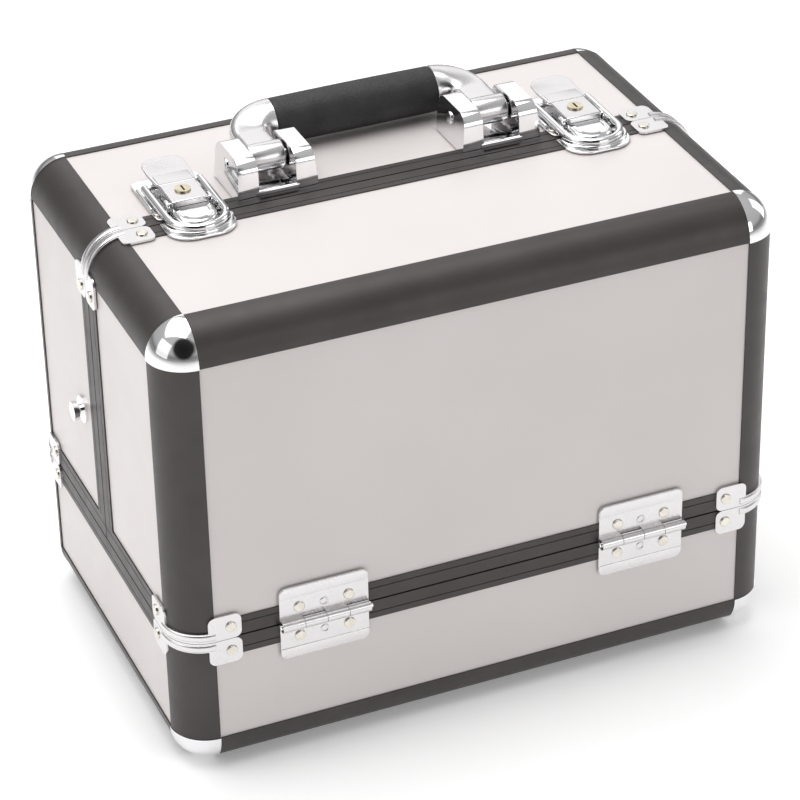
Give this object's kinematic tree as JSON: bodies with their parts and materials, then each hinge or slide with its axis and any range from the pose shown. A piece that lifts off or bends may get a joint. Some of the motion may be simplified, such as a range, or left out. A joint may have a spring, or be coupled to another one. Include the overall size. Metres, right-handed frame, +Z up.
{
  "type": "two-door train case with cantilever trays",
  "caption": "Hard aluminium-framed carry case whose two lid halves swing outward and spread cantilever trays over a deep tub, with a folding handle and key draw latches.",
  "frame": {"origin": "centre of the case's footprint, on the surface it stands on", "axes": "+X along the case to its right end, -Y out of the front face, +Z up"},
  "size_m": [0.3734, 0.2504, 0.3075],
  "materials": {
    "white_laminate": "smooth warm white laminated board, satin",
    "black_aluminium": "black satin anodised extrusion",
    "lining": "black napped lining",
    "tray_plastic": "black moulded tray with a flocked inside",
    "brass": "pale brass",
    "grip": "black grained soft grip",
    "steel": "zinc plated flat steel",
    "chrome": "bright chrome plate"
  },
  "bodies": {
    "tub": {"tub_front_panel": "white_laminate", "tub_back_panel": "white_laminate", "tub_end_panels": "white_laminate", "tub_bottom_panel": "white_laminate", "tub_seam_rails": "black_aluminium", "tub_edge_extrusions": "black_aluminium", "tub_corner_caps": "chrome", "tub_seam_straps": "chrome", "tub_lining": "lining", "tub_hinge_leaves": "chrome", "hinge_pins": "chrome", "tub_rivets": "brass", "tray_arm_pivots": "steel"},
    "front_lid": {"front_lid_face_panel": "white_laminate", "front_lid_top_panel": "white_laminate", "front_lid_end_panels": "white_laminate", "front_lid_seam_rails": "black_aluminium", "front_lid_edge_extrusions": "black_aluminium", "front_lid_corner_caps": "chrome", "front_lid_straps": "chrome", "front_lid_lining": "lining", "front_lid_hinge_leaves": "chrome", "front_lid_rivets": "brass", "front_lid_guide_plates": "steel", "latch_strikes": "chrome"},
    "back_lid": {"back_lid_face_panel": "white_laminate", "back_lid_top_panel": "white_laminate", "back_lid_end_panels": "white_laminate", "back_lid_seam_rails": "black_aluminium", "back_lid_edge_extrusions": "black_aluminium", "back_lid_corner_caps": "chrome", "back_lid_straps": "chrome", "back_lid_lining": "lining", "back_lid_hinge_leaves": "chrome", "back_lid_rivets": "brass", "back_lid_guide_plates": "steel", "latch_bases": "chrome", "latch_pins": "chrome", "handle_mounts": "chrome", "handle_pins": "chrome", "strap_studs": "chrome"},
    "handle": {"handle_arms": "chrome", "handle_core": "steel", "handle_grip": "grip"},
    "front_outer_arms": {"front_outer_arms": "steel"},
    "front_inner_arms": {"front_inner_arms": "steel"},
    "front_tray_1": {"front_tray_1": "tray_plastic"},
    "front_tray_2": {"front_tray_2": "tray_plastic"},
    "front_tray_3": {"front_tray_3": "tray_plastic"},
    "back_outer_arms": {"back_outer_arms": "steel"},
    "back_inner_arms": {"back_inner_arms": "steel"},
    "back_tray_1": {"back_tray_1": "tray_plastic"},
    "back_tray_2": {"back_tray_2": "tray_plastic"},
    "back_tray_3": {"back_tray_3": "tray_plastic"},
    "left_latch_lever": {"left_latch_lever": "chrome"},
    "left_latch_loop": {"left_latch_loop": "chrome"},
    "left_key_plug": {"left_key_plug": "brass"},
    "right_latch_lever": {"right_latch_lever": "chrome"},
    "right_latch_loop": {"right_latch_loop": "chrome"},
    "right_key_plug": {"right_key_plug": "brass"}
  },
  "joints": [
    {"name": "front_lid_hinge", "type": "hinge", "parent": "tub", "child": "front_lid", "pos_m": [0, -0.122, 0.0875], "axis": [1, 0, 0], "range_deg": [0, 90]},
    {"name": "front_outer_arms_swing", "type": "hinge", "parent": "tub", "child": "front_outer_arms", "pos_m": [0, -0.1, 0.0805], "axis": [1, 0, 0], "range_deg": [0, 52.01]},
    {"name": "front_inner_arms_swing", "type": "hinge", "parent": "tub", "child": "front_inner_arms", "pos_m": [0, -0.079, 0.0805], "axis": [1, 0, 0], "range_deg": [0, 52.01]},
    {"name": "front_tray_1_level", "type": "hinge", "parent": "front_outer_arms", "child": "front_tray_1", "pos_m": [0, -0.08537, 0.1105], "axis": [-1, 0, 0], "range_deg": [0, 52.01]},
    {"name": "front_tray_2_level", "type": "hinge", "parent": "front_outer_arms", "child": "front_tray_2", "pos_m": [0, -0.05952, 0.1635], "axis": [-1, 0, 0], "range_deg": [0, 52.01]},
    {"name": "front_tray_3_level", "type": "hinge", "parent": "front_outer_arms", "child": "front_tray_3", "pos_m": [0, -0.03367, 0.2165], "axis": [-1, 0, 0], "range_deg": [0, 52.01]},
    {"name": "back_lid_hinge", "type": "hinge", "parent": "tub", "child": "back_lid", "pos_m": [0, 0.122, 0.0875], "axis": [-1, 0, 0], "range_deg": [0, 90]},
    {"name": "back_outer_arms_swing", "type": "hinge", "parent": "tub", "child": "back_outer_arms", "pos_m": [0, 0.1, 0.0805], "axis": [-1, 0, 0], "range_deg": [0, 52.01]},
    {"name": "back_inner_arms_swing", "type": "hinge", "parent": "tub", "child": "back_inner_arms", "pos_m": [0, 0.079, 0.0805], "axis": [-1, 0, 0], "range_deg": [0, 52.01]},
    {"name": "back_tray_1_level", "type": "hinge", "parent": "back_outer_arms", "child": "back_tray_1", "pos_m": [0, 0.08537, 0.1105], "axis": [1, 0, 0], "range_deg": [0, 52.01]},
    {"name": "back_tray_2_level", "type": "hinge", "parent": "back_outer_arms", "child": "back_tray_2", "pos_m": [0, 0.05952, 0.1635], "axis": [1, 0, 0], "range_deg": [0, 52.01]},
    {"name": "back_tray_3_level", "type": "hinge", "parent": "back_outer_arms", "child": "back_tray_3", "pos_m": [0, 0.03367, 0.2165], "axis": [1, 0, 0], "range_deg": [0, 52.01]},
    {"name": "handle_swing", "type": "hinge", "parent": "back_lid", "child": "handle", "pos_m": [0, 0.024, 0.294], "axis": [1, 0, 0], "range_deg": [0, 90]},
    {"name": "left_lever_swing", "type": "hinge", "parent": "back_lid", "child": "left_latch_lever", "pos_m": [-0.118, 0.0075, 0.2855], "axis": [1, 0, 0], "range_deg": [0, 100]},
    {"name": "left_loop_swing", "type": "hinge", "parent": "left_latch_lever", "child": "left_latch_loop", "pos_m": [-0.118, 0.033, 0.2841], "axis": [-1, 0, 0], "range_deg": [0, 100]},
    {"name": "left_key_turn", "type": "hinge", "parent": "left_latch_lever", "child": "left_key_plug", "pos_m": [-0.118, 0.0155, 0.289], "axis": [0, 0, -1], "range_deg": [0, 90]},
    {"name": "right_lever_swing", "type": "hinge", "parent": "back_lid", "child": "right_latch_lever", "pos_m": [0.118, 0.0075, 0.2855], "axis": [1, 0, 0], "range_deg": [0, 100]},
    {"name": "right_loop_swing", "type": "hinge", "parent": "right_latch_lever", "child": "right_latch_loop", "pos_m": [0.118, 0.033, 0.2841], "axis": [-1, 0, 0], "range_deg": [0, 100]},
    {"name": "right_key_turn", "type": "hinge", "parent": "right_latch_lever", "child": "right_key_plug", "pos_m": [0.118, 0.0155, 0.289], "axis": [0, 0, -1], "range_deg": [0, 90]}
  ],
  "couplings": [
    {"joint": "front_outer_arms_swing", "follows": "front_lid_hinge", "ratio": 0.57778},
    {"joint": "front_inner_arms_swing", "follows": "front_lid_hinge", "ratio": 0.57778},
    {"joint": "front_tray_1_level", "follows": "front_lid_hinge", "ratio": 0.57778},
    {"joint": "front_tray_2_level", "follows": "front_lid_hinge", "ratio": 0.57778},
    {"joint": "front_tray_3_level", "follows": "front_lid_hinge", "ratio": 0.57778},
    {"joint": "back_outer_arms_swing", "follows": "back_lid_hinge", "ratio": 0.57778},
    {"joint": "back_inner_arms_swing", "follows": "back_lid_hinge", "ratio": 0.57778},
    {"joint": "back_tray_1_level", "follows": "back_lid_hinge", "ratio": 0.57778},
    {"joint": "back_tray_2_level", "follows": "back_lid_hinge", "ratio": 0.57778},
    {"joint": "back_tray_3_level", "follows": "back_lid_hinge", "ratio": 0.57778},
    {"joint": "left_loop_swing", "follows": "left_lever_swing", "ratio": 1},
    {"joint": "right_loop_swing", "follows": "right_lever_swing", "ratio": 1}
  ]
}
